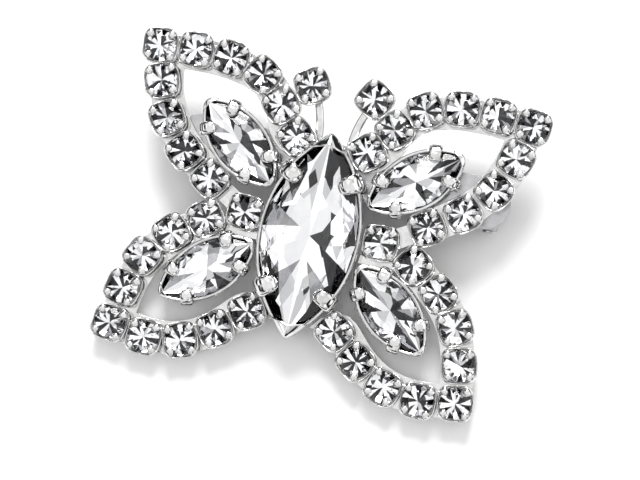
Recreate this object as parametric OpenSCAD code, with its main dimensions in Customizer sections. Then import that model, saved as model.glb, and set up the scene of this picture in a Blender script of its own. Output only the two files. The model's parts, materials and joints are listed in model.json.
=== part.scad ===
// Butterfly hair clip: claw-set clear stones on wing-shaped metal frames, with a small
// hinged clasp across the back. Millimetres, +Z up. The clip lies on its back, as it is
// put down on a table: the clasp arm's front edge and the two lower wings touch z = 0.
// Everything is drawn first in the ornament's own plane (z = 0 is the frames' underside,
// the origin is the middle of the large body stone), then laid down by lay_down().

/* [Round stones] */
// Diameter of a round stone
stone_d = 2.7; // [2.5:0.05:2.75]
// Outside diameter of a round cup
cup_d = 3; // [2.9:0.05:3.05]
// Height of a round cup
cup_h = 1.3; // [1.25:0.05:1.5]
// Diameter of one claw of a round cup
claw_d = 0.4; // [0.3:0.05:0.45]

/* [Navette stones] */
// Length of the body setting, between its points
body_l = 18.1; // [17.5:0.1:18.4]
// Width of the body setting
body_w = 8.8; // [8.4:0.1:8.8]
// Length of an upper wing's navette setting
upper_navette_l = 9.8; // [9:0.1:9.8]
// Length of a lower wing's navette setting
lower_navette_l = 9.8; // [9:0.1:9.8]
// Width of the wing navette settings
navette_w = 4.9; // [4.5:0.1:4.9]
// Thickness of the setting walls
setting_wall = 0.3; // [0.25:0.05:0.35]

/* [Wing frames] */
// Thickness of the frame strips under the cups
strip_t = 0.5; // [0.4:0.05:0.6]
// Width of the frame strips from the stones' centre line inwards
strip_in = 1.7; // [1.5:0.05:1.75]
// Width of the frame strips from the stones' centre line outwards
strip_out = 1.2; // [1.1:0.05:1.45]

/* [Clasp] */
// Depth of the closed clasp behind the frames
clasp_depth = 2.9; // [2.8:0.05:3.2]
// Width of the base plate
base_w = 4.4; // [4.2:0.1:4.6]
// Width of the clasp arm
arm_w = 3.2; // [3:0.05:3.2]
// Thickness of the base plate and of the clasp arm
plate_t = 0.5; // [0.4:0.05:0.5]
// Diameter of the hinge pin
pin_d = 0.7; // [0.6:0.05:0.8]

/* [Hidden] */

metal = "silver";
crystal = "aliceblue";
gap = 0.02;
$fn = 48;

// Right wing edges, as the control points of one cubic curve each, along the middles of
// the round cups. The left wings are their mirror images.
upper_leading = [[3.15, 8.05], [5.9, 8.6], [2.9, 15], [16.5, 13.2]];
upper_trailing = [[16.5, 13.2], [15.2, 13.9], [17.7, 7.1], [9.6, 2.9]];
lower_outer = [[9.2, -0.5], [14.1, -3.4], [14.9, -6.1], [15.3, -11.1]];
lower_inner = [[15.3, -11.1], [6.9, -13.4], [4.9, -7.2], [3.85, -7.5]];
// The last stone of the upper trailing edge sits by itself beside the body
upper_root = [6, 0.75];
antenna_at = [2.75, 12.6];
antenna_foot = [1.45, 8];
antenna_sag = 0.35;
antenna_d = 0.5;

upper_navette_at = [7.8, 6.5];
upper_navette_turn = 39.7;
lower_navette_at = [8.1, -4.65];
lower_navette_turn = -41.2;

// Round stone: a cone to the culet, a short girdle and a crown with a flat table
culet_z = 0.25;
girdle_z = 1.1;
girdle_h = 0.12;
crown_h = 0.45;
table_d = 1.6;
cup_floor = 0.2;
claw_at = stone_d / 2 + claw_d / 2 + 0.05;
claw_top = girdle_z + girdle_h + 0.4;

// Height of each setting's wall, and how far its claws stand above it
body_wall_h = 2.8;
navette_wall_h = 2;
body_crown_h = 1.4;
navette_crown_h = 0.75;
// How far along a navette its claws stand from its middle, as a share of its length
claw_share = 0.29;

// Clasp, along X across the upper wings
clasp_y = 6.1;
base_left = -13.8;
base_right = 16;
hinge_x = 14.4;
hinge_z = -1.6;
knuckle_d = 1.6;
ear_t = 0.4;
ear_out = 2.1;
pin_head_d = 0.9;
pin_head_h = 0.25;
pin_clear = 0.03;
arm_left = -13.2;
arm_joggle_x = -10.2;
arm_joggle_h = 0.6;
fork_w = 2.2;
fork_l = 2.3;
catch_x = -11.8;
bracket_t = 0.25;
bracket_l = 4.4;
bracket_w = 2.1;
rivet_x = -9.2;
rivet_d = 0.6;
tab_t = 0.25;
tab_l = 1.2;
tab_bottom = -2.75;
pad_left = -14.6;
pad_flare = 0.4;
bar_t = 0.2;
bar_w = 2;
bar_left = -7.6;
bar_right = 12;
bar_bow = 1.1;
arm_front_y = clasp_y - arm_w / 2;

function bezier(c, t) =
    pow(1 - t, 3) * c[0] + 3 * pow(1 - t, 2) * t * c[1]
    + 3 * (1 - t) * t * t * c[2] + pow(t, 3) * c[3];
function slope(c, t) =
    3 * pow(1 - t, 2) * (c[1] - c[0]) + 6 * (1 - t) * t * (c[2] - c[1])
    + 3 * t * t * (c[3] - c[2]);
curve_steps = 40;
// Length of the curve up to parameter t
function length_to(c, t) =
    t <= 0 ? 0 : length_to(c, t - 1 / curve_steps)
    + norm(bezier(c, t) - bezier(c, max(0, t - 1 / curve_steps)));
// Parameter at which the curve has run a length, found by halving
function at_length(c, s, low = 0, high = 1, left = 14) =
    let (mid = (low + high) / 2)
    left == 0 ? mid
    : length_to(c, mid) < s ? at_length(c, s, mid, high, left - 1)
    : at_length(c, s, low, mid, left - 1);
// Parameters of n places evenly apart along a curve, its two ends among them
function even(c, n) = [
    for (i = [0 : n - 1])
        i == 0 ? 0 : i == n - 1 ? 1 : at_length(c, length_to(c, 1) * i / (n - 1))
];
// Radius of the body setting's sides, and the middle of the right one
body_r = (body_l * body_l + body_w * body_w) / (4 * body_w);
body_arc = [body_w / 2 - body_r, 0];
// [place, turn in degrees] of a cup: its claws stand at 45 degrees from the turn, and
// straddle the body setting's wall where the cup is beside it
function cup_place(at, turn) =
    let (off = at - body_arc)
    [at, norm(off) - body_r < claw_at + claw_d / 2 ? atan2(off.y, off.x) : turn];
// Places of the cups of a curve, from number first to number last, in line with their
// neighbours
function row(c, n, first, last) =
    let (at = [for (t = even(c, n)) bezier(c, t)])
    [for (i = [first : last])
        let (d = at[min(n - 1, i + 1)] - at[max(0, i - 1)]) cup_place(at[i], atan2(d.y, d.x))];

leading_row = row(upper_leading, 6, 0, 5);
trailing_row = concat(row(upper_trailing, 5, 1, 4), [cup_place(upper_root, 30)]);
outer_row = row(lower_outer, 5, 0, 4);
inner_row = row(lower_inner, 5, 1, 4);

// Points beside a curve, at a distance to its left
strip_steps = 16;
function beside(c, d) = [
    for (i = [0 : strip_steps])
        let (t = i / strip_steps, s = slope(c, t) / norm(slope(c, t)))
        bezier(c, t) + d * [-s.y, s.x]
];
function backwards(list) = [for (i = [len(list) - 1 : -1 : 0]) list[i]];

// The ornament leans back on the clasp: its tilt lays the arm's front edge and the lower
// frames' lowest edge on one plane
wing_low_y = min([for (p = beside(lower_inner, strip_out)) p.y]);
rest_tilt = atan2(clasp_depth, arm_front_y - wing_low_y);
rest_lift = -wing_low_y * sin(rest_tilt);
frame_shift_y = -0.73;

module lay_down() {
    translate([0, frame_shift_y, rest_lift]) rotate([rest_tilt, 0, 0]) children();
}

module left_side() {
    mirror([1, 0, 0]) children();
}

// Pointed oval between two arcs, along Y, with an even inset from its outline
module lens(l, w, inset = 0) {
    r = (l * l + w * w) / (4 * w);
    intersection() {
        translate([r - w / 2, 0]) circle(r = r - inset, $fn = 160);
        translate([w / 2 - r, 0]) circle(r = r - inset, $fn = 160);
    }
}

module round_stone() {
    r = stone_d / 2;
    rotate_extrude() polygon([
        [0, culet_z], [r, girdle_z], [r, girdle_z + girdle_h],
        [table_d / 2, girdle_z + girdle_h + crown_h], [0, girdle_z + girdle_h + crown_h]
    ]);
}

module round_cup() {
    pocket_r = stone_d / 2 + gap;
    rotate_extrude() polygon([
        [0, 0], [cup_d / 2, 0], [cup_d / 2, cup_h], [pocket_r, cup_h],
        [pocket_r, girdle_z - gap], [0, cup_floor]
    ]);
    for (turn = [45 : 90 : 315])
        rotate([0, 0, turn]) translate([claw_at, 0, 0]) cylinder(d = claw_d, h = claw_top);
}

// Puts one child at every place of a row, on top of the frame strips
module on_row(places) {
    for (place = places)
        translate([place[0].x, place[0].y, strip_t]) rotate([0, 0, place[1]]) children();
}

// Claws stand at four places along a setting's sides, each a post half sunk in the wall,
// from the top of the frame strips up
module setting_claws(l, w, h, d, along) {
    r = (l * l + w * w) / (4 * w);
    side = sqrt(r * r - along * along) - (r - w / 2);
    for (x = [-1, 1], y = [-1, 1])
        translate([x * side, y * along, strip_t])
            cylinder(d = d, h = h - strip_t, $fn = 32);
}

module setting(l, w, wall_h, claw_h, claw_width, claw_along) {
    difference() {
        union() {
            linear_extrude(wall_h) lens(l, w);
            setting_claws(l, w, claw_h, claw_width, claw_along);
        }
        translate([0, 0, cup_floor]) linear_extrude(claw_h) lens(l, w, setting_wall);
    }
}

// Cut stone with a keel below, a thin girdle and a flat table
module navette_stone(l, w, girdle, crown) {
    keel = 0.2;
    keel_z = cup_floor + 0.1;
    table_share = 0.62;
    inset = setting_wall + gap;
    hull() {
        translate([0, 0, keel_z])
            linear_extrude(0.01) lens(l * 0.7, keel);
        translate([0, 0, girdle]) linear_extrude(0.12) lens(l, w, inset);
    }
    hull() {
        translate([0, 0, girdle + 0.12]) linear_extrude(0.01) lens(l, w, inset);
        translate([0, 0, girdle + crown]) linear_extrude(0.01)
            lens(l * table_share, w * table_share);
    }
}

module body_setting() {
    color(metal) lay_down()
        setting(body_l, body_w, body_wall_h, body_wall_h + 0.7, 1.1, claw_share * body_l);
}

module body_stone() {
    color(crystal) lay_down()
        navette_stone(body_l, body_w, body_wall_h - 0.25, body_crown_h);
}

module upper_navette_place() {
    translate([upper_navette_at.x, upper_navette_at.y, 0])
        rotate([0, 0, upper_navette_turn - 90]) children();
}

module lower_navette_place() {
    translate([lower_navette_at.x, lower_navette_at.y, 0])
        rotate([0, 0, lower_navette_turn - 90]) children();
}

module navette_setting(l) {
    setting(l, navette_w, navette_wall_h, navette_wall_h + 0.4, 0.7, claw_share * l);
}

module navette_crystal(l) {
    navette_stone(l, navette_w, navette_wall_h - 0.2, navette_crown_h);
}

module right_upper_setting() {
    color(metal) upper_navette_place() navette_setting(upper_navette_l);
}

module right_upper_crystal() {
    color(crystal) upper_navette_place() navette_crystal(upper_navette_l);
}

module right_lower_setting() {
    color(metal) lower_navette_place() navette_setting(lower_navette_l);
}

module right_lower_crystal() {
    color(crystal) lower_navette_place() navette_crystal(lower_navette_l);
}

module upper_right_navette_setting() {
    lay_down() right_upper_setting();
}

module upper_left_navette_setting() {
    lay_down() left_side() right_upper_setting();
}

module upper_right_navette_stone() {
    lay_down() right_upper_crystal();
}

module upper_left_navette_stone() {
    lay_down() left_side() right_upper_crystal();
}

module lower_right_navette_setting() {
    lay_down() right_lower_setting();
}

module lower_left_navette_setting() {
    lay_down() left_side() right_lower_setting();
}

module lower_right_navette_stone() {
    lay_down() right_lower_crystal();
}

module lower_left_navette_stone() {
    lay_down() left_side() right_lower_crystal();
}

// Flat strip that follows a wing edge; side is 1 where the wing's inside is on the left
module strip(c, side) {
    polygon(concat(beside(c, side * strip_in), backwards(beside(c, -side * strip_out))));
}

// Straight bar between two points
module bar(from, to, w) {
    d = to - from;
    translate(from) rotate(atan2(d.y, d.x)) translate([0, -w / 2]) square([norm(d), w]);
}

module pad(at, r) {
    translate(at) circle(r = r);
}

module upper_frame() {
    color(metal) linear_extrude(strip_t) difference() {
        union() {
            strip(upper_leading, -1);
            strip(upper_trailing, -1);
            pad(upper_leading[3], strip_out);
            pad(upper_trailing[3], 1.2);
            pad(upper_leading[0], 1.1);
            bar(upper_trailing[3], upper_root, 1.8);
            pad(upper_root, 1.2);
            bar(upper_root, [3.6, 0.5], 1.2);
            bar(upper_leading[0], [0.6, 6.7], 1.2);
        }
        lens(body_l, body_w);
        upper_navette_place() lens(upper_navette_l, navette_w);
    }
}

module lower_frame() {
    color(metal) linear_extrude(strip_t) difference() {
        union() {
            strip(lower_outer, -1);
            strip(lower_inner, -1);
            pad(lower_outer[3], strip_out);
            pad(lower_outer[0], 1.1);
            pad(lower_inner[3], 1.1);
            bar([9, -0.9], [3.8, -0.95], 0.7);
            bar(lower_inner[3], [0.8, -6.8], 1.2);
        }
        lens(body_l, body_w);
        lower_navette_place() lens(lower_navette_l, navette_w);
    }
}

module upper_right_frame() {
    lay_down() upper_frame();
}

module upper_left_frame() {
    lay_down() left_side() upper_frame();
}

module lower_right_frame() {
    lay_down() lower_frame();
}

module lower_left_frame() {
    lay_down() left_side() lower_frame();
}

module cups_on(places) {
    color(metal) on_row(places) round_cup();
}

module stones_on(places) {
    color(crystal) on_row(places) round_stone();
}

module upper_right_leading_cups() {
    lay_down() cups_on(leading_row);
}

module upper_right_leading_stones() {
    lay_down() stones_on(leading_row);
}

module upper_right_trailing_cups() {
    lay_down() cups_on(trailing_row);
}

module upper_right_trailing_stones() {
    lay_down() stones_on(trailing_row);
}

module upper_left_leading_cups() {
    lay_down() left_side() cups_on(leading_row);
}

module upper_left_leading_stones() {
    lay_down() left_side() stones_on(leading_row);
}

module upper_left_trailing_cups() {
    lay_down() left_side() cups_on(trailing_row);
}

module upper_left_trailing_stones() {
    lay_down() left_side() stones_on(trailing_row);
}

module lower_right_outer_cups() {
    lay_down() cups_on(outer_row);
}

module lower_right_outer_stones() {
    lay_down() stones_on(outer_row);
}

module lower_right_inner_cups() {
    lay_down() cups_on(inner_row);
}

module lower_right_inner_stones() {
    lay_down() stones_on(inner_row);
}

module lower_left_outer_cups() {
    lay_down() left_side() cups_on(outer_row);
}

module lower_left_outer_stones() {
    lay_down() left_side() stones_on(outer_row);
}

module lower_left_inner_cups() {
    lay_down() left_side() cups_on(inner_row);
}

module lower_left_inner_stones() {
    lay_down() left_side() stones_on(inner_row);
}

// Round wire bent to one arc, bulging to the right of the way from one end to the other
module arc_wire(from, to, sag, d) {
    chord = norm(to - from);
    r = (chord * chord / 4 + sag * sag) / (2 * sag);
    half = asin(chord / (2 * r));
    way = atan2(to.y - from.y, to.x - from.x);
    mid = (from + to) / 2;
    translate([mid.x, mid.y, d / 2]) rotate([0, 0, way]) translate([0, r - sag, 0])
        rotate([0, 0, -90 - half])
            rotate_extrude(angle = 2 * half, $fn = 96) translate([r, 0]) circle(d = d, $fn = 24);
}

module antenna_wire() {
    color(metal) arc_wire(antenna_at, antenna_foot, antenna_sag, antenna_d);
}

antenna_place = [[antenna_at, 60]];

module right_antenna_wire() {
    lay_down() antenna_wire();
}

module right_antenna_cup() {
    lay_down() cups_on(antenna_place);
}

module right_antenna_stone() {
    lay_down() stones_on(antenna_place);
}

module left_antenna_wire() {
    lay_down() left_side() antenna_wire();
}

module left_antenna_cup() {
    lay_down() left_side() cups_on(antenna_place);
}

module left_antenna_stone() {
    lay_down() left_side() stones_on(antenna_place);
}

// Side view of a clasp piece in X and Z, given its thickness across the clasp and the
// offset of its middle from the clasp's middle line
module across(w, off = 0) {
    translate([0, clasp_y + off + w / 2, 0]) rotate([90, 0, 0]) linear_extrude(w) children();
}

module ear_profile() {
    difference() {
        union() {
            translate([hinge_x, hinge_z]) circle(d = knuckle_d);
            translate([hinge_x - knuckle_d / 2, hinge_z])
                square([knuckle_d, -plate_t - hinge_z]);
        }
        translate([hinge_x, hinge_z]) circle(d = pin_d);
    }
}

// Flat plate with two round ends and two ears that carry the hinge pin
module base_plate() {
    r = base_w / 2;
    color(metal) lay_down() {
        difference() {
            translate([0, 0, -plate_t]) linear_extrude(plate_t) {
                translate([base_left + r, clasp_y - r])
                    square([base_right - base_left - base_w, base_w]);
                translate([base_left + r, clasp_y]) circle(r = r);
                translate([base_right - r, clasp_y]) circle(r = r);
            }
            translate([rivet_x, clasp_y, -plate_t - 1]) cylinder(d = rivet_d, h = plate_t + 2);
        }
        for (side = [-1, 1]) across(ear_t, side * (ear_out - ear_t / 2)) ear_profile();
    }
}

module hinge_pin() {
    color(metal) lay_down() translate([hinge_x, clasp_y, hinge_z]) rotate([90, 0, 0]) {
        cylinder(d = pin_d, h = 2 * ear_out, center = true);
        for (side = [-1, 1])
            translate([0, 0, side * (ear_out + pin_head_h / 2)])
                cylinder(d = pin_head_d, h = pin_head_h, center = true);
    }
}

// Arm that closes over the hair: a knuckle on the pin, a flat strip, and a raised fork
module clasp_arm() {
    top = -clasp_depth + plate_t;
    color(metal) lay_down() difference() {
        across(arm_w) difference() {
            union() {
                translate([hinge_x, hinge_z]) circle(d = knuckle_d);
                translate([hinge_x - knuckle_d / 2, -clasp_depth])
                    square([knuckle_d / 2, hinge_z + clasp_depth]);
                polygon([
                    [arm_left, top + arm_joggle_h], [arm_left, top + arm_joggle_h - plate_t],
                    [arm_joggle_x - arm_joggle_h, top + arm_joggle_h - plate_t],
                    [arm_joggle_x, -clasp_depth], [hinge_x, -clasp_depth], [hinge_x, top],
                    [arm_joggle_x, top], [arm_joggle_x - arm_joggle_h, top + arm_joggle_h]
                ]);
            }
            translate([hinge_x, hinge_z]) circle(r = pin_d / 2 + pin_clear);
        }
        translate([arm_left - 1, clasp_y - fork_w / 2, -clasp_depth - 1])
            cube([fork_l + 1, fork_w, clasp_depth]);
    }
}

// Thin bowed spring strip under the base plate, which presses on the hair
module tension_bar() {
    chord = bar_right - bar_left;
    r = (chord * chord / 4 + bar_bow * bar_bow) / (2 * bar_bow);
    mid = (bar_left + bar_right) / 2;
    color(metal) lay_down() across(bar_w) intersection() {
        translate([mid, r - bar_bow - plate_t]) difference() {
            circle(r = r, $fn = 360);
            circle(r = r - bar_t, $fn = 360);
        }
        translate([bar_left, -plate_t - bar_bow - 1]) square([chord, bar_bow + 1]);
    }
}

module catch_bracket() {
    z = -plate_t - bracket_t;
    color(metal) lay_down() difference() {
        translate([catch_x - tab_l / 2, clasp_y - bracket_w / 2, z])
            cube([bracket_l, bracket_w, bracket_t]);
        translate([rivet_x, clasp_y, z - 1]) cylinder(d = rivet_d, h = bracket_t + 2);
    }
}

module catch_rivet() {
    head_h = 0.25;
    z = -plate_t - bracket_t;
    color(metal) lay_down() translate([rivet_x, clasp_y, z]) {
        cylinder(d = rivet_d, h = plate_t + bracket_t);
        translate([0, 0, -head_h]) cylinder(d = 1.1, h = head_h);
    }
}

// Spring leg beside the fork's slot, with a finger pad past the arm's end
module catch_tab(side) {
    top = -plate_t - bracket_t - 0.03;
    outer = bracket_w / 2;
    color(metal) lay_down() {
        across(tab_t, side * (outer - tab_t / 2)) {
            translate([catch_x - tab_l / 2, tab_bottom]) square([tab_l, top - tab_bottom]);
            translate([pad_left, tab_bottom]) square([catch_x - pad_left, 1.2]);
        }
        across(pad_flare, side * (outer + pad_flare / 2))
            translate([pad_left, tab_bottom])
                square([arm_left - pad_left - 0.2, 1.2]);
    }
}

module front_catch_tab() {
    catch_tab(-1);
}

module back_catch_tab() {
    catch_tab(1);
}

body_setting();
body_stone();
upper_left_navette_setting();
upper_left_navette_stone();
upper_right_navette_setting();
upper_right_navette_stone();
lower_left_navette_setting();
lower_left_navette_stone();
lower_right_navette_setting();
lower_right_navette_stone();
upper_left_frame();
upper_right_frame();
lower_left_frame();
lower_right_frame();
upper_left_leading_cups();
upper_left_leading_stones();
upper_left_trailing_cups();
upper_left_trailing_stones();
upper_right_leading_cups();
upper_right_leading_stones();
upper_right_trailing_cups();
upper_right_trailing_stones();
lower_left_outer_cups();
lower_left_outer_stones();
lower_left_inner_cups();
lower_left_inner_stones();
lower_right_outer_cups();
lower_right_outer_stones();
lower_right_inner_cups();
lower_right_inner_stones();
left_antenna_wire();
left_antenna_cup();
left_antenna_stone();
right_antenna_wire();
right_antenna_cup();
right_antenna_stone();
base_plate();
hinge_pin();
clasp_arm();
tension_bar();
catch_bracket();
catch_rivet();
front_catch_tab();
back_catch_tab();
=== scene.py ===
"""Looks of the butterfly hair clip: cut crystals with foiled backs in claw settings, polished
wing frames and the clasp behind them.

Pieces are drawn in millimetres in the ornament's own plane, whose z is 0 at the underside of
the wing frames, and laid down on the frame that the CAD gives.
"""

import json
import math
import random

import bmesh
import bpy
import numpy as np
from mathutils import Euler, Matrix, Vector


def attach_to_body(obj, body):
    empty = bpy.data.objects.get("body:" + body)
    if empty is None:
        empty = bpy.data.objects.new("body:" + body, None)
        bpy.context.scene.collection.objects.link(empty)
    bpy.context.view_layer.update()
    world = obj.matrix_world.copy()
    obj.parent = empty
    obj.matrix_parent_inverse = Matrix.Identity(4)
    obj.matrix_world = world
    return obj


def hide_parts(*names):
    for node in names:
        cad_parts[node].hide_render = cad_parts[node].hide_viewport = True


MM = 0.001
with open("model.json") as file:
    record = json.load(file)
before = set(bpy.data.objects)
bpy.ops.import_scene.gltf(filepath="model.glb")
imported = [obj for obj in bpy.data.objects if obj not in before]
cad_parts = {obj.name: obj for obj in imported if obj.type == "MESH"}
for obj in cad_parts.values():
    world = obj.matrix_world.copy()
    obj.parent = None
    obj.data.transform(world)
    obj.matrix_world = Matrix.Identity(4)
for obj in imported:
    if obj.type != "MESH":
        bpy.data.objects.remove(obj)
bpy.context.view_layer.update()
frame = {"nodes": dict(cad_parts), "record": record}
record = frame["record"]
behaviour = record["behaviour"]
BODY = {node: body for body, nodes in behaviour["bodies"].items() for node in nodes}
rng = random.Random(12)


# The ornament's plane

def lean():
    """The ornament's tilt about X, from its hinge's axis."""
    hinge = next(j for j in behaviour["joints"] if j["name"] == "clasp_hinge")
    return math.atan2(hinge["axis"][2], hinge["axis"][1])


TILT = Matrix.Rotation(lean(), 3, "X")
TILT_ARRAY = np.array(TILT)


def mesh_points(node):
    mesh = frame["nodes"][node].data
    points = np.empty(len(mesh.vertices) * 3)
    mesh.vertices.foreach_get("co", points)
    return points.reshape(-1, 3) @ TILT_ARRAY


def middle_of_body():
    points = mesh_points("body_setting")
    low, high = points.min(axis=0), points.max(axis=0)
    return np.array([(low[0] + high[0]) / 2, (low[1] + high[1]) / 2, low[2]])


ORIGIN = middle_of_body()


def local(node):
    """The CAD node's vertices in the ornament's plane, in millimetres."""
    return (mesh_points(node) - ORIGIN) / MM


def to_row(points):
    return (np.asarray(points, dtype=float) * MM + ORIGIN) @ TILT_ARRAY.T


def islands(node):
    """The separate solids of a CAD node, as arrays of points in the ornament's plane."""
    points = local(node)
    keys = [tuple(row) for row in np.round(points, 4)]
    first = {}
    parent = [first.setdefault(key, i) for i, key in enumerate(keys)]

    def root(i):
        while parent[i] != i:
            parent[i] = parent[parent[i]]
            i = parent[i]
        return i

    for polygon in frame["nodes"][node].data.polygons:
        corners = [root(v) for v in polygon.vertices]
        for other in corners[1:]:
            parent[root(other)] = root(corners[0])
    groups = {}
    for i in range(len(points)):
        groups.setdefault(root(i), []).append(i)
    return [points[members] for members in groups.values()]


# Mesh building

class Shape:
    """Vertices and faces in the ornament's plane; each face has a material number and a shading."""

    def __init__(self):
        self.verts, self.faces, self.mats, self.smooth = [], [], [], []

    def add(self, verts, faces, mat=0, smooth=True, place=None):
        start = len(self.verts)
        for v in verts:
            v = Vector(v)
            self.verts.append(place @ v if place is not None else v)
        for i, face in enumerate(faces):
            self.faces.append([start + k for k in face])
            self.mats.append(mat[i] if isinstance(mat, list) else mat)
            self.smooth.append(smooth)

    def loft(self, rings, place=None):
        """Closed rings of equal length joined in turn, with a cap on each end."""
        n = len(rings[0])
        verts = [v for ring in rings for v in ring]
        faces = []
        for r in range(len(rings) - 1):
            a, b = r * n, (r + 1) * n
            faces += [[a + i, a + (i + 1) % n, b + (i + 1) % n, b + i] for i in range(n)]
        faces.append(list(range(n))[::-1])
        faces.append(list(range(len(verts) - n, len(verts))))
        self.add(verts, faces, place=place)


def finish_mesh(mesh, materials, mats=None, smooth=None):
    """Give a mesh its materials and, where mats is given, each face its own and its shading."""
    for material in materials:
        mesh.materials.append(material)
    if mats is not None:
        mesh.polygons.foreach_set("material_index", mats)
        mesh.polygons.foreach_set("use_smooth", smooth)
    mesh.update()


def attach(obj, node):
    bpy.context.scene.collection.objects.link(obj)
    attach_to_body(obj, BODY[node])
    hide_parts(node)
    return obj


def piece(node, shape, materials):
    mesh = bpy.data.meshes.new(node + "_look")
    mesh.from_pydata(to_row([tuple(v) for v in shape.verts]).tolist(), [], shape.faces)
    finish_mesh(mesh, materials, shape.mats, shape.smooth)
    work = bmesh.new()
    work.from_mesh(mesh)
    bmesh.ops.recalc_face_normals(work, faces=work.faces)
    work.to_mesh(mesh)
    work.free()
    return attach(bpy.data.objects.new(node + "_look", mesh), node)


def softened(node, material, edge):
    """The CAD node's own shape with its edges rounded off."""
    one_plane, rounded_from, creased_from = (math.radians(a) for a in (0.6, 35, 50))
    work = bmesh.new()
    work.from_mesh(frame["nodes"][node].data)
    bmesh.ops.remove_doubles(work, verts=work.verts, dist=0.002 * MM)
    bmesh.ops.dissolve_limit(work, angle_limit=one_plane, verts=work.verts, edges=work.edges)
    sharp = [
        e for e in work.edges if len(e.link_faces) == 2 and e.calc_face_angle(0) > rounded_from
    ]
    bmesh.ops.bevel(
        work, geom=sharp, offset=edge * MM, segments=2, profile=0.5,
        affect="EDGES", clamp_overlap=True,
    )
    for face in work.faces:
        face.smooth = True
    for e in work.edges:
        if len(e.link_faces) == 2 and e.calc_face_angle(0) > creased_from:
            e.smooth = False
    mesh = bpy.data.meshes.new(node + "_look")
    work.to_mesh(mesh)
    work.free()
    finish_mesh(mesh, [material])
    obj = attach(bpy.data.objects.new(node + "_look", mesh), node)
    normals = obj.modifiers.new("flat_faces", "WEIGHTED_NORMAL")
    normals.keep_sharp = True
    return obj


def at(x, y, z=0.0, turn=0.0):
    return Matrix.Translation((x, y, z)) @ Matrix.Rotation(turn, 4, "Z")


# Materials

class Nodes:
    def __init__(self, name):
        self.material = bpy.data.materials.new(name)
        self.material.use_nodes = True
        self.tree = self.material.node_tree
        self.tree.nodes.clear()
        self.out = self.tree.nodes.new("ShaderNodeOutputMaterial")
        self.bsdf = self.tree.nodes.new("ShaderNodeBsdfPrincipled")
        self.link(self.bsdf.outputs[0], self.out.inputs["Surface"])
        self.where = self.tree.nodes.new("ShaderNodeTexCoord").outputs["Object"]

    def link(self, a, b):
        self.tree.links.new(a, b)

    def noise(self, scale, detail=3.0, stretch=(1, 1, 1)):
        mapping = self.tree.nodes.new("ShaderNodeMapping")
        mapping.inputs["Scale"].default_value = stretch
        self.link(self.where, mapping.inputs["Vector"])
        node = self.tree.nodes.new("ShaderNodeTexNoise")
        node.inputs["Scale"].default_value = scale
        node.inputs["Detail"].default_value = detail
        node.inputs["Roughness"].default_value = 0.55
        self.link(mapping.outputs[0], node.inputs["Vector"])
        return node.outputs["Fac"]

    def ramp(self, value, stops):
        node = self.tree.nodes.new("ShaderNodeValToRGB")
        while len(node.color_ramp.elements) < len(stops):
            node.color_ramp.elements.new(0.5)
        for element, (place, colour) in zip(node.color_ramp.elements, stops):
            element.position = place
            element.color = (*colour, 1)
        self.link(value, node.inputs["Fac"])
        return node.outputs["Color"]

    def spread(self, value, low, high):
        """A noise, mostly between 0.3 and 0.7, stretched to between low and high."""
        node = self.tree.nodes.new("ShaderNodeMapRange")
        node.inputs["From Min"].default_value = 0.3
        node.inputs["From Max"].default_value = 0.7
        node.inputs["To Min"].default_value = low
        node.inputs["To Max"].default_value = high
        self.link(value, node.inputs["Value"])
        return node.outputs["Result"]

    def bump(self, height, strength, distance):
        node = self.tree.nodes.new("ShaderNodeBump")
        node.inputs["Strength"].default_value = strength
        node.inputs["Distance"].default_value = distance
        self.link(height, node.inputs["Height"])
        self.link(node.outputs["Normal"], self.bsdf.inputs["Normal"])


def metal(name, dark, light, rough, wave, stretch=(1, 1, 1)):
    """Plate between two colours and two roughnesses, with waves of a height in millimetres."""
    n = Nodes(name)
    n.bsdf.inputs["Metallic"].default_value = 1
    n.link(n.ramp(n.noise(900), [(0.3, dark), (0.62, light)]), n.bsdf.inputs["Base Color"])
    n.link(n.spread(n.noise(2600, stretch=stretch), *rough), n.bsdf.inputs["Roughness"])
    n.bump(n.noise(1400, 4, stretch), 0.35, wave * MM)
    return n.material


def crystal():
    n = Nodes("crystal_glass")
    n.bsdf.inputs["Transmission Weight"].default_value = 1
    n.bsdf.inputs["IOR"].default_value = 1.45
    n.link(
        n.ramp(n.noise(500), [(0.35, (0.985, 0.99, 1)), (0.65, (1, 1, 1))]),
        n.bsdf.inputs["Base Color"],
    )
    n.link(n.spread(n.noise(3000), 0.0, 0.004), n.bsdf.inputs["Roughness"])
    return n.material


def foil(name, dark, light):
    n = Nodes(name)
    n.bsdf.inputs["Metallic"].default_value = 1
    n.link(n.ramp(n.noise(700), [(0.35, dark), (0.65, light)]), n.bsdf.inputs["Base Color"])
    n.link(n.spread(n.noise(2500), 0.0, 0.01), n.bsdf.inputs["Roughness"])
    return n.material


SILVER = metal("silver_plate", (0.6, 0.595, 0.59), (0.74, 0.74, 0.74), (0.03, 0.1), 0.008)
STEEL = metal(
    "clasp_steel", (0.44, 0.44, 0.45), (0.54, 0.54, 0.55), (0.16, 0.3), 0.006, (0.08, 1, 1)
)
CRYSTAL = crystal()
FOIL = foil("bright_foil", (0.93, 0.93, 0.95), (0.98, 0.98, 0.98))
# The shaded and dark foils are painted shade: darker copies of the bright foil that stand for
# facets reflecting darkness
HALF_SHADE_PAINTED_FOIL = foil("foil_painted_half_shade", (0.3, 0.3, 0.32), (0.42, 0.42, 0.43))
DARK_SHADE_PAINTED_FOIL = foil("foil_painted_dark_shade", (0.012, 0.012, 0.014), (0.035, 0.035, 0.038))
STONE_MATERIALS = [CRYSTAL, FOIL, HALF_SHADE_PAINTED_FOIL, DARK_SHADE_PAINTED_FOIL]

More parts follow.
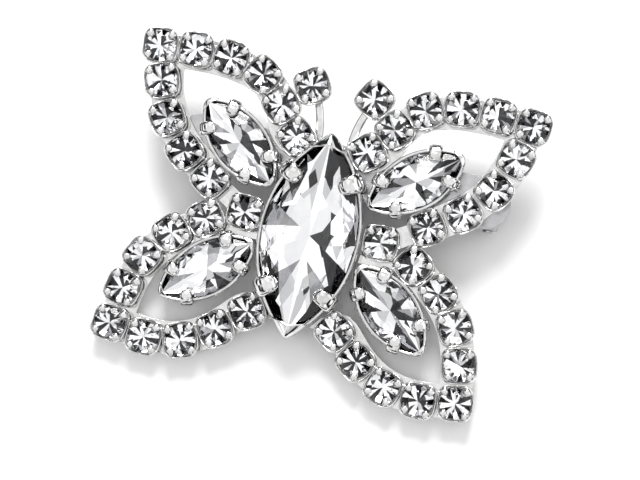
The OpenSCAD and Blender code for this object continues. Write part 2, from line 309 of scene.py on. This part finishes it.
# How often each of the three foils is painted behind a stone's mains, behind the halves on one side
# of them and behind those on the other; the shaded and dark foils are painted shade for dark
# reflections
ROUND_PAINTED_SHADES = ((0.68, 0.04, 0.28), (0.12, 0.04, 0.84), (0.88, 0.06, 0.06))
NAVETTE_PAINTED_SHADES = ((0.8, 0.15, 0.05), (0.35, 0.3, 0.35), (0.75, 0.2, 0.05))
BODY_PAINTED_SHADES = ((0.85, 0.15, 0), (0.7, 0.15, 0.15), (0.62, 0.16, 0.22))


# Cut stones

def round_outline(r):
    """Sixteen girdle points, every second one under a main facet, and the ways they face."""
    facing = [(math.cos(i * math.pi / 8), math.sin(i * math.pi / 8)) for i in range(16)]
    return [(r * x, r * y) for x, y in facing], facing


def navette_arc(l, w):
    """Radius of a navette's sides, and half the angle that each side spans."""
    r = (l * l + w * w) / (4 * w)
    return r, math.asin(l / 2 / r)


def navette_outline(l, w):
    r, half = navette_arc(l, w)
    points, normals = [], []
    for side in (1, -1):
        for i in range(8):
            a = half * (i / 4 - 1)
            points.append((side * (r * math.cos(a) - r + w / 2), side * r * math.sin(a)))
            normals.append((side * math.cos(a), side * math.sin(a)))
    normals[0], normals[8] = (0, -1), (0, 1)
    return points, normals


def crossing(p, m, h, q, n, k):
    """Where m.(p - x) = h and n.(q - x) = k."""
    return np.linalg.solve(
        np.array([m, n], dtype=float),
        np.array([np.dot(m, p) - h, np.dot(n, q) - k]),
    )


def cut_stone(shape, outline, place, *, girdle, band, top, culet, table, star, lower, shades):
    """A stone with a table, eight stars, eight mains and sixteen halves above its girdle, and
    eight mains and sixteen halves below, each painted with one of the foils, bright or in painted
    shade.

    girdle and band are the girdle's height and its own thickness, top and culet the heights
    of the table and of the lowest point. table is the table's share of the outline; star and
    lower say how far the stars and the lower halves reach, as shares of the crown and of the
    pavilion."""
    points, normals = (np.array(v) for v in outline)
    mains = points[0::2]
    facing = normals[0::2]
    verts, faces = [], []

    def vert(xy, z):
        verts.append((xy[0], xy[1], z))
        return len(verts) - 1

    reach = np.einsum("ij,ij->i", mains, facing)
    upper = [vert(p, girdle + band) for p in points]
    under = [vert(p, girdle) for p in points]
    corners = [vert(p * table, top) for p in mains]
    height = top - girdle - band
    depth = girdle - culet
    kite_rise = height / (reach * (1 - table))
    kite_fall = depth / reach
    shoulder, keel = [], []
    for k in range(8):
        j = (k + 1) % 8
        rise = star * height
        shoulder.append(vert(crossing(
            mains[k], facing[k], rise / kite_rise[k], mains[j], facing[j], rise / kite_rise[j]
        ), girdle + band + rise))
        fall = lower * depth
        keel.append(vert(crossing(
            mains[k], facing[k], fall / kite_fall[k], mains[j], facing[j], fall / kite_fall[j]
        ), girdle - fall))
    point = vert((0, 0), culet)
    faces.append(corners)
    for k in range(8):
        j, before = (k + 1) % 8, (k - 1) % 8
        main, half, following = 2 * k, 2 * k + 1, (2 * k + 2) % 16
        faces += [
            [corners[k], shoulder[before], upper[main], shoulder[k]],
            [corners[k], shoulder[k], corners[j]],
            [shoulder[k], upper[main], upper[half]],
            [shoulder[k], upper[half], upper[following]],
            [upper[main], under[main], under[half], upper[half]],
            [upper[half], under[half], under[following], upper[following]],
        ]
    mats = [0] * len(faces)
    for k in range(8):
        before = (k - 1) % 8
        main, half, following = 2 * k, 2 * k + 1, (2 * k + 2) % 16
        faces += [
            [point, keel[k], under[main], keel[before]],
            [keel[k], under[half], under[main]],
            [keel[k], under[following], under[half]],
        ]
        # Painted shade: each pavilion facet gets the bright, shaded or dark foil at random
        mats += [rng.choices((1, 2, 3), weights)[0] for weights in shades]
    shape.add(verts, faces, mats, False, place)


# Metal settings

def squared(value, power):
    """A sine or cosine pushed towards 1 or -1, for a section between a circle and a square."""
    return math.copysign(abs(value) ** power, value)


def tongue(shape, path, widths, thicks, place):
    """A flat-faced tongue with rounded edges, along a path in the XZ plane; it is wide along Y."""
    sides = 20
    thick_power, wide_power = 0.8, 0.62
    rings = []
    for i, (x, z) in enumerate(path):
        before, after = path[max(0, i - 1)], path[min(len(path) - 1, i + 1)]
        dx, dz = after[0] - before[0], after[1] - before[1]
        size = math.hypot(dx, dz)
        nx, nz = -dz / size, dx / size
        rings.append([
            (
                x + nx * thicks[i] / 2 * squared(math.sin(a), thick_power),
                widths[i] / 2 * squared(math.cos(a), wide_power),
                z + nz * thicks[i] / 2 * squared(math.sin(a), thick_power),
            )
            for a in (2 * math.pi * k / sides for k in range(sides))
        ])
    shape.loft(rings, place=place)


def claw(shape, place, size, foot, lip, reach, climb):
    """A claw that rises at x = 0 from foot to lip, then bends inwards, towards -X, over the
    stone's edge. climb is how much higher its tip ends on a sloping stone."""
    path = [
        (0, foot),
        (0.1 * size, foot + 0.5 * (lip - foot)),
        (0.14 * size, lip - 0.2 * size),
        (0.12 * size, lip + 0.02 * size),
        (0.04 * size, lip + 0.18 * size),
        (-0.1 * reach, lip + 0.27 * size),
        (-0.32 * reach, lip + 0.31 * size + 0.3 * climb),
        (-0.6 * reach, lip + 0.3 * size + 0.6 * climb),
        (-0.82 * reach, lip + 0.25 * size + 0.8 * climb),
        (-0.95 * reach, lip + 0.17 * size + climb),
        (-reach, lip + 0.1 * size + climb),
    ]
    widths = [w * size for w in (0.8, 0.86, 0.92, 0.98, 1, 1, 0.98, 0.92, 0.78, 0.5, 0.15)]
    thicks = [t * size for t in (0.3, 0.3, 0.32, 0.34, 0.36, 0.38, 0.4, 0.4, 0.36, 0.26, 0.08)]
    tongue(shape, path, widths, thicks, place)


def claw_cup(shape, place, half, height):
    """A pressed cup, square with round corners, whose wall dips between its four claws."""
    steps = 64
    corner_power, dip_power, dip_depth = 3.4, 1.5, 0.2
    rings = []
    # Share of the half width, share of the height, and how much of the dip it takes
    profile = [
        (0.5, 0, 0), (0.84, 0, 0), (0.93, 0.05, 0), (0.965, 0.45, 0), (0.985, 0.8, 0.8),
        (1, 0.96, 1), (0.99, 1.02, 1), (0.965, 1.04, 1), (0.925, 1.03, 1), (0.905, 0.97, 1),
        (0.9, 0.72, 0), (0.5, 0.3, 0),
    ]
    for share, level, rim in profile:
        ring = []
        for i in range(steps):
            a = 2 * math.pi * i / steps
            fold = abs(math.cos(a)) ** corner_power + abs(math.sin(a)) ** corner_power
            edge = half * share * fold ** (-1 / corner_power)
            dip = dip_depth * (1 - abs(math.sin(2 * a)) ** dip_power) * rim
            ring.append((edge * math.cos(a), edge * math.sin(a), height * (level - dip)))
        rings.append(ring)
    shape.loft(rings, place=place)


def blunt_tip(l, w, inset, tip):
    """For a pointed oval with an even inset and rounded points: the sides' radius and how far
    their middles stand off the axis, the points' radius and how far up the axis its middle is,
    and the angle at which a side meets a point."""
    r = (l * l + w * w) / (4 * w)
    shift = r - w / 2
    small = max(tip - inset, 0.03)
    high = math.sqrt((r - inset - small) ** 2 - shift * shift)
    return r - inset, shift, small, high, math.atan2(high, shift)


def lens_ring(l, w, inset, z, tip):
    r, shift, small, high, meet = blunt_tip(l, w, inset, tip)
    steps, turns = 14, 5
    ring = []
    for side in (1, -1):
        for i in range(2 * steps):
            a = meet * (i / steps - 1)
            ring.append((side * (r * math.cos(a) - shift), side * r * math.sin(a), z))
        for i in range(turns):
            a = meet + (math.pi - 2 * meet) * i / turns
            ring.append((side * small * math.cos(a), side * (high + small * math.sin(a)), z))
    return ring


def navette_wall(shape, place, l, w, h, wall, tip):
    # Inset from the outline, and height
    profile = [
        (0.6, 0), (0.3, 0.02), (0.16, 0.1), (0.07, 0.5 * h), (0, 0.86 * h), (0, 0.95 * h),
        (0.05, 0.99 * h), (0.12, h), (wall - 0.12, h), (wall - 0.03, 0.98 * h), (wall, 0.93 * h),
        (wall, 0.55 * h), (wall + 0.1, 0.3), (0.8, 0.25),
    ]
    shape.loft([lens_ring(l, w, inset, z, tip) for inset, z in profile], place=place)


def tip_cap(shape, place, l, w, h, cover, rise, tip):
    """The folded metal over one pointed end of a stone, at +Y."""
    r, shift, small, high, meet = blunt_tip(l, w, 0, tip)
    end = high + small
    across, along = 12, 9
    inset, sunk, above, below = 0.02, 0.04, 0.06, 0.12
    top, under = [], []
    for j in range(along + 1):
        share = j / along
        for i in range(across + 1):
            u = 2 * i / across - 1
            notch = 0.3 * cover * (1 - abs(u)) * (1 - share)
            y = min(end - cover * (1 - share) ** 1.3 + notch, end - 0.01)
            if y < high + small * math.sin(meet):
                x = math.sqrt(r * r - y * y) - shift
            else:
                x = math.sqrt(small * small - (y - high) ** 2)
            x -= inset
            z = h - sunk * abs(u) + rise * (1 - share) * (1 - abs(u) ** 2.2)
            top.append((u * x, y, z + above))
            under.append((u * x, y, z - below))
    n = len(top)
    row = across + 1
    faces = []
    for j in range(along):
        for i in range(across):
            a = j * row + i
            faces.append([a, a + 1, a + 1 + row, a + row])
            faces.append([n + a, n + a + row, n + a + 1 + row, n + a + 1])
    border = (
        [i for i in range(row)]
        + [j * row + across for j in range(1, along + 1)]
        + [along * row + i for i in range(across - 1, -1, -1)]
        + [j * row for j in range(along - 1, 0, -1)]
    )
    for a, b in zip(border, border[1:] + border[:1]):
        faces.append([b, a, n + a, n + b])
    shape.add(top + under, faces, place=place)


# The round stones and their cups

CUP_HEIGHT = 1.3
CUP_SHARE = 0.875  # of the radius over the claws, from a cup's middle to its flat side
CUP_CLAW = 0.6
CLAW_FOOT = 0.35
CLAW_INSET = 0.2  # of a claw's middle line, from the radius over the claws
CUP_LIP = 1.38
STONE_GIRDLE = 1.2
STONE_TILT = 0.035
STONE_SPREAD = 1.03  # the facets' girdle lies just outside the CAD stone's


def cup_places(node):
    """For each cup of a node: x, y, z of its floor, its claws' turn and the radius over them."""
    found = []
    for points in islands(node):
        low = points[:, 2].min()
        middle = (points.min(axis=0) + points.max(axis=0)) / 2
        flat = points[:, :2] - middle[:2]
        far = np.hypot(flat[:, 0], flat[:, 1])
        tip = flat[far.argmax()]
        found.append((middle[0], middle[1], low, math.atan2(tip[1], tip[0]), far.max()))
    return sorted(found)


def stone_radius(node):
    points = islands(node)[0]
    return (points[:, 0].max() - points[:, 0].min()) / 2


def dress_round(cups, stones):
    r = stone_radius(stones)
    metal_shape, stone_shape = Shape(), Shape()
    for x, y, z, turn, over in cup_places(cups):
        claw_cup(metal_shape, at(x, y, z, turn + math.pi / 4), CUP_SHARE * over, CUP_HEIGHT)
        for k in range(4):
            size = CUP_CLAW * rng.uniform(0.9, 1.12)
            swing = rng.uniform(-0.12, 0.12)
            stand = at(x, y, z, turn + k * math.pi / 2) @ at(over - CLAW_INSET, 0, 0, swing)
            reach = CUP_CLAW * rng.uniform(0.9, 1.15)
            claw(metal_shape, stand, size, CLAW_FOOT, CUP_LIP, reach, 0)
        tilt = Euler(
            (rng.gauss(0, STONE_TILT), rng.gauss(0, STONE_TILT), rng.uniform(0, math.pi))
        )
        cut_stone(
            stone_shape, round_outline(STONE_SPREAD * r),
            at(x, y, z + STONE_GIRDLE) @ tilt.to_matrix().to_4x4(),
            girdle=0, band=0.07, top=0.52, culet=-0.34, table=0.58, star=0.5, lower=0.78,
            shades=ROUND_PAINTED_SHADES,
        )
    piece(cups, metal_shape, [SILVER])
    piece(stones, stone_shape, STONE_MATERIALS)


# The navettes

def navette_place(node):
    """A setting's middle, the turn that takes Y to its long way, and its length."""
    points = local(node)
    middle = (points.min(axis=0) + points.max(axis=0)) / 2
    flat = points[:, :2] - points[:, :2].mean(axis=0)
    far = flat[np.hypot(flat[:, 0], flat[:, 1]).argmax()]
    turn = math.atan2(far[1], far[0])
    length = 2 * np.hypot(*far)
    return middle[0], middle[1], turn - math.pi / 2, length


SETTING_WALL = 0.3
SETTING_GAP = 0.02
SETTING_CLAW_FOOT = 0.3
GIRDLE_DROP = 0.18  # of a stone's girdle, from the top of its setting's wall
CLAW_ALONG = 0.29  # of a setting's length, from its middle to its claws


def dress_navette(prefix, *, width, wall_h, claw_size, cover, rise, tip, crown, shades):
    """A pointed setting and its stone. cover and rise are how far the folded metal at each
    point reaches over the stone and how high it stands, tip is the point's own radius."""
    setting, stone = prefix + "_setting", prefix + "_stone"
    x, y, turn, length = navette_place(setting)
    place = at(x, y, 0, turn)
    shape = Shape()
    navette_wall(shape, place, length, width, wall_h, SETTING_WALL, tip)
    for flip in (0, math.pi):
        tip_cap(shape, place @ at(0, 0, 0, flip), length, width, wall_h, cover, rise, tip)
    r = navette_arc(length, width)[0]
    for side in (1, -1):
        for end in (1, -1):
            along = end * CLAW_ALONG * length
            angle = math.asin(along / r)
            foot = side * (r * math.cos(angle) - r + width / 2)
            facing = (angle if side == 1 else math.pi - angle) + rng.uniform(-0.1, 0.1)
            size = claw_size * rng.uniform(0.94, 1.08)
            reach = claw_size * rng.uniform(0.95, 1.15)
            stand = place @ at(foot, along, 0, facing)
            claw(shape, stand, size, SETTING_CLAW_FOOT, wall_h, reach, 0.1 * claw_size)
    piece(setting, shape, [SILVER])
    stone_w = width - 2 * (SETTING_WALL + SETTING_GAP)
    stone_l = length * (1 - 1.8 * SETTING_WALL / width)  # nearly in the width's proportion
    girdle = wall_h - GIRDLE_DROP
    stone_shape = Shape()
    cut_stone(
        stone_shape, navette_outline(stone_l, stone_w), place, girdle=girdle,
        band=0.1, top=girdle + crown, culet=girdle - 0.1 * width, table=0.5, star=0.55,
        lower=0.75, shades=shades,
    )
    piece(stone, stone_shape, STONE_MATERIALS)


# Antenna wires

def dress_wire(node):
    """A wire with a groove along it, on the arc that the CAD wire follows."""
    points = local(node)
    across = points[:, 2].max() - points[:, 2].min()
    flat = points[:, :2]
    start, end = flat[flat[:, 1].argmin()], flat[flat[:, 1].argmax()]
    way = (end - start) / np.linalg.norm(end - start)
    along = (flat - start) @ way
    end_reach, middle_reach = 0.25, 0.4
    middle_points = flat[np.abs(along - along.max() / 2) < middle_reach]
    first = flat[along < end_reach].mean(axis=0)
    last = flat[along > along.max() - end_reach].mean(axis=0)
    bend = 2 * middle_points.mean(axis=0) - (first + last) / 2
    rings = []
    steps, sides = 28, 20
    waist, bulge, broad, tall = 0.78, 0.5, 1.2, 0.95
    for i in range(steps + 1):
        t = i / steps
        p = (1 - t) ** 2 * first + 2 * t * (1 - t) * bend + t * t * last
        d = 2 * (1 - t) * (bend - first) + 2 * t * (last - bend)
        d = d / np.linalg.norm(d)
        ring = []
        for k in range(sides):
            a = 2 * math.pi * k / sides
            r = across / 2 * (waist + bulge * abs(math.cos(a)) ** 1.5)
            side, up = broad * r * math.cos(a), tall * r * math.sin(a)
            ring.append((p[0] - d[1] * side, p[1] + d[0] * side, across / 2 + up))
        rings.append(ring)
    shape = Shape()
    shape.loft(rings)
    piece(node, shape, [SILVER])


for side in ("left", "right"):
    for row in ("leading", "trailing"):
        dress_round(f"upper_{side}_{row}_cups", f"upper_{side}_{row}_stones")
    for row in ("outer", "inner"):
        dress_round(f"lower_{side}_{row}_cups", f"lower_{side}_{row}_stones")
    dress_round(f"{side}_antenna_cup", f"{side}_antenna_stone")
    dress_wire(f"{side}_antenna_wire")
    for level in ("upper", "lower"):
        dress_navette(
            f"{level}_{side}_navette",
            width=4.9, wall_h=2, claw_size=1.1, cover=0.6, rise=0.15, tip=0.8, crown=0.6,
            shades=NAVETTE_PAINTED_SHADES,
        )
        softened(f"{level}_{side}_frame", SILVER, 0.15)
dress_navette(
    "body",
    width=8.8, wall_h=2.8, claw_size=1.6, cover=1.6, rise=0.62, tip=0.4, crown=0.95,
    shades=BODY_PAINTED_SHADES,
)
for node in ("base_plate", "clasp_arm"):
    softened(node, STEEL, 0.09)
for node in (
    "hinge_pin", "tension_bar", "catch_bracket", "catch_rivet", "front_catch_tab", "back_catch_tab"
):
    softened(node, STEEL, 0.05)


# Camera, floor and light

def look():
    """The camera stands over the ornament's plane, turned a little, and looks at its stones."""
    stones_plane = Vector((0, 0, 1.9))
    pitch, yaw, roll = (math.radians(a) for a in (-3.2, -7.3, -13.2))
    turned = (
        Matrix.Rotation(pitch, 3, "X")
        @ Matrix.Rotation(yaw, 3, "Y")
        @ Matrix.Rotation(roll, 3, "Z")
    )
    aside, up, distance = 0.85, -0.33, 255
    eye = turned.transposed() @ Vector((aside, up, distance)) + stones_plane
    data = bpy.data.cameras.new("camera")
    data.lens = 168
    data.clip_start = 0.01
    data.clip_end = 20
    camera = bpy.data.objects.new("camera", data)
    camera.matrix_world = Matrix.LocRotScale(
        Vector(to_row([tuple(eye)])[0]), (TILT @ turned.transposed()).to_quaternion(), None
    )
    bpy.context.scene.collection.objects.link(camera)
    bpy.context.scene.camera = camera


def floor():
    mesh = bpy.data.meshes.new("floor")
    half = 0.3
    corners = [(-half, -half, 0), (half, -half, 0), (half, half, 0), (-half, half, 0)]
    mesh.from_pydata(corners, [], [[0, 1, 2, 3]])
    n = Nodes("floor_white")
    n.bsdf.inputs["Roughness"].default_value = 0.9
    n.bsdf.inputs["Specular IOR Level"].default_value = 0.1
    whites = n.ramp(n.noise(30), [(0.3, (0.9, 0.9, 0.9)), (0.7, (0.92, 0.92, 0.92))])
    n.link(whites, n.bsdf.inputs["Base Color"])
    finish_mesh(mesh, [n.material])
    obj = bpy.data.objects.new("floor", mesh)
    bpy.context.scene.collection.objects.link(obj)


def area(name, spot, size, watts):
    data = bpy.data.lights.new(name, "AREA")
    data.shape = "DISK"
    data.size = size
    data.energy = watts
    light = bpy.data.objects.new(name, data)
    light.location = spot
    light.rotation_euler = (-Vector(spot)).to_track_quat("-Z", "Y").to_euler()
    bpy.context.scene.collection.objects.link(light)


look()
floor()
area("key", spot=(-0.08, 0.515, 0.465), size=0.33, watts=5.2)


def studio():
    """White to the camera; to the metal and crystal, pale panels with dark gaps between them."""
    world = bpy.data.worlds.new("studio")
    world.use_nodes = True
    tree = world.node_tree
    tree.nodes.clear()
    new = tree.nodes.new
    link = tree.links.new
    way = new("ShaderNodeTexCoord").outputs["Generated"]

    def node(kind, operation, *inputs):
        made = new(kind)
        made.operation = operation
        for socket, value in zip(made.inputs, inputs):
            if isinstance(value, (int, float)):
                socket.default_value = value
            else:
                link(value, socket)
        return made.outputs[0]

    def steps(value, stops, kind):
        ramp = new("ShaderNodeValToRGB")
        ramp.color_ramp.interpolation = kind
        while len(ramp.color_ramp.elements) < len(stops):
            ramp.color_ramp.elements.new(0.5)
        for element, (place, shade) in zip(ramp.color_ramp.elements, stops):
            element.position = place
            element.color = (shade, shade, shade, 1)
        link(value, ramp.inputs["Fac"])
        return ramp.outputs["Color"]

    cells = new("ShaderNodeTexVoronoi")
    cells.inputs["Scale"].default_value = 3.4
    link(way, cells.inputs["Vector"])
    split = new("ShaderNodeSeparateColor")
    link(cells.outputs["Color"], split.inputs[0])
    height = new("ShaderNodeSeparateXYZ")
    link(way, height.inputs[0])
    rays = new("ShaderNodeLightPath")

    def mixed(factor, a, b):
        made = new("ShaderNodeMix")
        made.data_type = "RGBA"
        link(factor, made.inputs["Factor"])
        for socket, value in ((made.inputs["A"], a), (made.inputs["B"], b)):
            if isinstance(value, float):
                socket.default_value = (value, value, value, 1)
            else:
                link(value, socket)
        return made.outputs["Result"]

    def panels(shares, shades, dark):
        """Cells of the sky, some of them dark: shares gives the dark cells' share by the
        direction's height, and shades the brightness of the others."""
        share = steps(height.outputs["Z"], shares, "LINEAR")
        lit = node("ShaderNodeMath", "GREATER_THAN", split.outputs[0], share)
        return mixed(lit, dark, steps(split.outputs[1], shades, "CONSTANT"))

    round_metal = panels(
        [(0.0, 0.5), (0.05, 0.75), (0.5, 0.6), (0.65, 0.25), (0.8, 0.06), (0.92, 0.0)],
        [(0.0, 0.75), (0.3, 1.1), (0.6, 1.5)], 0.03,
    )
    round_crystal = panels(
        [(0.0, 0.4), (0.3, 0.25), (0.7, 0.12), (0.9, 0.0)],
        [(0.0, 0.65), (0.22, 0.95), (0.5, 1.2), (0.85, 1.7)], 0.02,
    )
    seen = mixed(rays.outputs["Is Transmission Ray"], round_metal, round_crystal)
    seen = mixed(rays.outputs["Is Camera Ray"], seen, 1.0)
    seen = mixed(rays.outputs["Is Diffuse Ray"], seen, 0.92)
    background = new("ShaderNodeBackground")
    link(seen, background.inputs["Color"])
    out = new("ShaderNodeOutputWorld")
    link(background.outputs[0], out.inputs["Surface"])
    bpy.context.scene.world = world


studio()
bpy.context.scene.view_settings.view_transform = "Standard"
